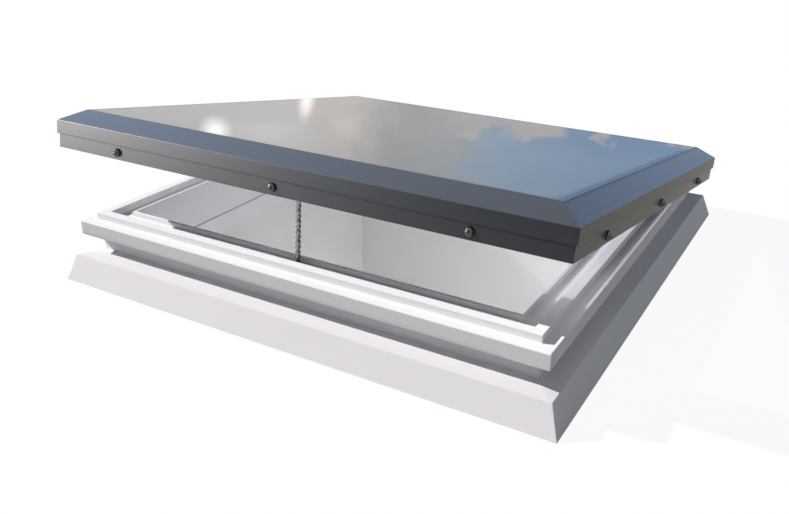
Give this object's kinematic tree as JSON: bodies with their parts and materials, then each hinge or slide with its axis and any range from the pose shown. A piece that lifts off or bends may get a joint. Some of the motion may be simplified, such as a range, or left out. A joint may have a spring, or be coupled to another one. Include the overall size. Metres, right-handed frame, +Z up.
{
  "type": "opening rooflight",
  "caption": "Square flat-roof skylight with a white kerb and vent frame, a hinged double-glazed lid in dark metal capping, and a concealed chain actuator that props the lid open.",
  "frame": {"origin": "centre of the kerb's foot, on the roof surface that the kerb stands on", "axes": "+Z up, +Y towards the hinges at the back, +X to the right seen from the opening front edge"},
  "size_m": [1, 1, 0.3257],
  "materials": {
    "white_pvc": "smooth extruded white plastic with welded corners",
    "anthracite_coat": "satin dark grey powder coat on aluminium",
    "sash_coat": "satin black powder coat on aluminium",
    "glass": "clear float glass with a faint green edge",
    "epdm": "black extruded rubber",
    "sealant": "black silicone sealant",
    "spacer": "black composite",
    "mill_aluminium": "mill finish extrusion",
    "zinc_steel": "bright zinc plated steel",
    "chain_steel": "dark oiled steel",
    "stainless": "stainless steel",
    "moulded_grey": "dark grey moulded nylon",
    "gloss_black": "glossy black moulded cap"
  },
  "bodies": {
    "base": {"kerb": "white_pvc", "base_seal": "epdm", "joint_gasket": "epdm", "vent_frame": "white_pvc", "actuator_cover": "white_pvc", "cover_screws": "stainless", "actuator_brackets": "zinc_steel", "actuator_bracket_screws": "stainless", "hinge_frame_leaves": "stainless", "hinge_pins": "stainless", "hinge_frame_screws": "stainless"},
    "lid": {"chain_end": "chain_steel", "chain_end_pin": "zinc_steel", "chain_bracket": "chain_steel", "chain_bracket_screws": "stainless", "hinge_lid_leaves": "stainless", "hinge_lid_screws": "stainless", "sash_front": "sash_coat", "sash_right": "sash_coat", "sash_back": "sash_coat", "sash_left": "sash_coat", "corner_cleats": "mill_aluminium", "lid_seal": "epdm", "glazing_tape": "epdm", "inner_pane": "glass", "spacer_bar": "spacer", "edge_seal": "sealant", "outer_pane": "glass", "location_blocks": "spacer", "weather_sealant": "sealant", "cap_front": "anthracite_coat", "cap_right": "anthracite_coat", "cap_back": "anthracite_coat", "cap_left": "anthracite_coat", "side_screws": "stainless", "screw_caps": "gloss_black"},
    "actuator": {"actuator_housing": "mill_aluminium", "actuator_end_caps": "moulded_grey", "drive_motor": "zinc_steel", "chain_guide": "moulded_grey", "chain_inner_links": "chain_steel", "chain_outer_links": "chain_steel", "chain_rollers": "chain_steel"}
  },
  "joints": [
    {"name": "lid_hinge", "type": "hinge", "parent": "base", "child": "lid", "pos_m": [0, 0.4765, 0.098], "axis": [-1, 0, 0], "range_deg": [-10.2, 0], "deforming": ["chain_inner_links", "chain_outer_links", "chain_rollers"]},
    {"name": "actuator_swivel", "type": "hinge", "parent": "base", "child": "actuator", "pos_m": [0, -0.42075, 0.081], "axis": [-1, 0, 0], "range_deg": [-5.4, 0]}
  ],
  "couplings": [
    {"joint": "actuator_swivel", "follows": "lid_hinge", "ratio": 0.52688}
  ]
}
